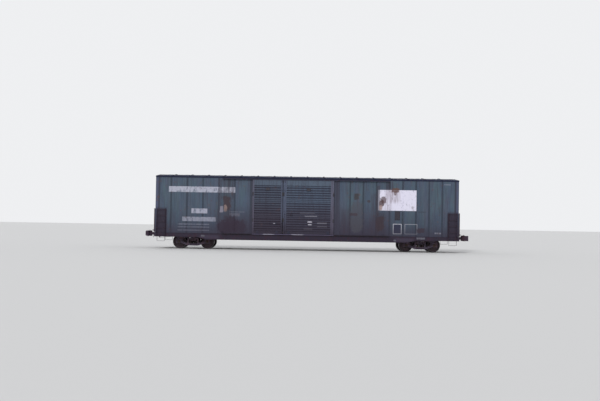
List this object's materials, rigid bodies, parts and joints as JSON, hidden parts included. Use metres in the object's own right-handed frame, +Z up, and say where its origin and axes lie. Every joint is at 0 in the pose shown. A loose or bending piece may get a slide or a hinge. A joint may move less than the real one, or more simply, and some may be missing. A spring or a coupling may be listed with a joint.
{
  "type": "railroad boxcar with double sliding doors",
  "caption": "Long steel railroad boxcar on two swivelling trucks, with ribbed sliding side doors, corrugated ends and knuckle couplers.",
  "frame": {"origin": "middle of the car, on the level of the wheel flanges' lowest points, 25 mm below the rail top", "axes": "+X along the car away from the hand brake end, +Z up, the side seen in the picture at -Y"},
  "size_m": [20.4478, 3.212, 4.673],
  "materials": {
    "body_paint": "faded green paint, satin",
    "door_paint": "faded green paint, satin, brown below",
    "roof_metal": "weathered roof coat, matt",
    "ladder_paint": "rusty brown paint, matt",
    "underframe_paint": "dirty dark paint, matt",
    "track_steel": "dirty steel with a run-in edge",
    "truck_casting": "rusted cast steel, matt",
    "wheel_steel": "dull rim with a bright tread",
    "axle_steel": "dull dirty steel",
    "spring_steel": "dull dirty steel",
    "coupler_casting": "rusted cast steel",
    "brake_gear_paint": "dirty black paint",
    "floor_wood": "worn planks with steel strips",
    "board_paint": "dark board, matt"
  },
  "bodies": {
    "car_body": {"side_walls": "body_paint", "door_headers": "body_paint", "end_walls": "body_paint", "placard_boards": "board_paint", "roof": "roof_metal", "floor": "floor_wood", "side_sills": "underframe_paint", "centre_sill": "underframe_paint", "floor_stringers": "underframe_paint", "crossbearers": "underframe_paint", "body_bolsters": "underframe_paint", "end_sills": "underframe_paint", "strikers": "coupler_casting", "draft_gears": "coupler_casting", "uncoupling_levers": "ladder_paint", "brake_pipe": "brake_gear_paint", "air_reservoir": "brake_gear_paint", "control_valve": "brake_gear_paint", "brake_cylinder": "brake_gear_paint", "brake_rigging": "brake_gear_paint", "upper_door_tracks": "track_steel", "lower_door_tracks": "track_steel", "ladder_stiles": "ladder_paint", "ladder_rungs": "ladder_paint", "sill_steps": "ladder_paint", "crossover_platforms": "ladder_paint", "end_handrails": "ladder_paint", "hand_brake": "brake_gear_paint", "hand_brake_wheel": "brake_gear_paint"},
    "truck_a": {"truck_a_side_frames": "truck_casting", "truck_a_bolster": "truck_casting", "truck_a_bearings": "truck_casting", "truck_a_brake_beams": "truck_casting", "truck_a_springs": "spring_steel"},
    "wheelset_3": {"wheelset_3_wheels": "wheel_steel", "wheelset_3_axle": "axle_steel"},
    "wheelset_4": {"wheelset_4_wheels": "wheel_steel", "wheelset_4_axle": "axle_steel"},
    "truck_b": {"truck_b_side_frames": "truck_casting", "truck_b_bolster": "truck_casting", "truck_b_bearings": "truck_casting", "truck_b_brake_beams": "truck_casting", "truck_b_springs": "spring_steel"},
    "wheelset_1": {"wheelset_1_wheels": "wheel_steel", "wheelset_1_axle": "axle_steel"},
    "wheelset_2": {"wheelset_2_wheels": "wheel_steel", "wheelset_2_axle": "axle_steel"},
    "wide_door_right": {"wide_door_right": "door_paint"},
    "wide_door_left": {"wide_door_left": "door_paint"},
    "narrow_door_right": {"narrow_door_right": "door_paint"},
    "narrow_door_left": {"narrow_door_left": "door_paint"},
    "coupler_a": {"coupler_a": "coupler_casting"},
    "knuckle_a": {"knuckle_a": "coupler_casting"},
    "coupler_b": {"coupler_b": "coupler_casting"},
    "knuckle_b": {"knuckle_b": "coupler_casting"}
  },
  "joints": [
    {"name": "truck_a_swivel", "type": "hinge", "parent": "car_body", "child": "truck_a", "pos_m": [7.05, 0, 0.68], "axis": [0, 0, 1], "range_deg": [-8, 8]},
    {"name": "wheelset_3_roll", "type": "hinge", "parent": "truck_a", "child": "wheelset_3", "pos_m": [6.1865, 0, 0.444], "axis": [0, 1, 0], "continuous": true},
    {"name": "wheelset_4_roll", "type": "hinge", "parent": "truck_a", "child": "wheelset_4", "pos_m": [7.9135, 0, 0.444], "axis": [0, 1, 0], "continuous": true},
    {"name": "truck_b_swivel", "type": "hinge", "parent": "car_body", "child": "truck_b", "pos_m": [-7.05, 0, 0.68], "axis": [0, 0, 1], "range_deg": [-8, 8]},
    {"name": "wheelset_1_roll", "type": "hinge", "parent": "truck_b", "child": "wheelset_1", "pos_m": [-7.9135, 0, 0.444], "axis": [0, 1, 0], "continuous": true},
    {"name": "wheelset_2_roll", "type": "hinge", "parent": "truck_b", "child": "wheelset_2", "pos_m": [-6.1865, 0, 0.444], "axis": [0, 1, 0], "continuous": true},
    {"name": "wide_door_right_slide", "type": "slide", "parent": "car_body", "child": "wide_door_right", "axis": [1, 0, 0], "range_m": [0, 3.05]},
    {"name": "wide_door_left_slide", "type": "slide", "parent": "car_body", "child": "wide_door_left", "axis": [-1, 0, 0], "range_m": [0, 3.05]},
    {"name": "narrow_door_right_slide", "type": "slide", "parent": "car_body", "child": "narrow_door_right", "axis": [-1, 0, 0], "range_m": [0, 1.83]},
    {"name": "narrow_door_left_slide", "type": "slide", "parent": "car_body", "child": "narrow_door_left", "axis": [1, 0, 0], "range_m": [0, 1.83]},
    {"name": "coupler_a_swing", "type": "hinge", "parent": "car_body", "child": "coupler_a", "pos_m": [8.9, 0, 0.901], "axis": [0, 0, 1], "range_deg": [-6, 6]},
    {"name": "knuckle_a_open", "type": "hinge", "parent": "coupler_a", "child": "knuckle_a", "pos_m": [10.025, 0.12, 0.901], "axis": [0, 0, 1], "range_deg": [0, 50]},
    {"name": "coupler_b_swing", "type": "hinge", "parent": "car_body", "child": "coupler_b", "pos_m": [-8.9, 0, 0.901], "axis": [0, 0, 1], "range_deg": [-6, 6]},
    {"name": "knuckle_b_open", "type": "hinge", "parent": "coupler_b", "child": "knuckle_b", "pos_m": [-10.025, -0.12, 0.901], "axis": [0, 0, 1], "range_deg": [0, 50]}
  ]
}
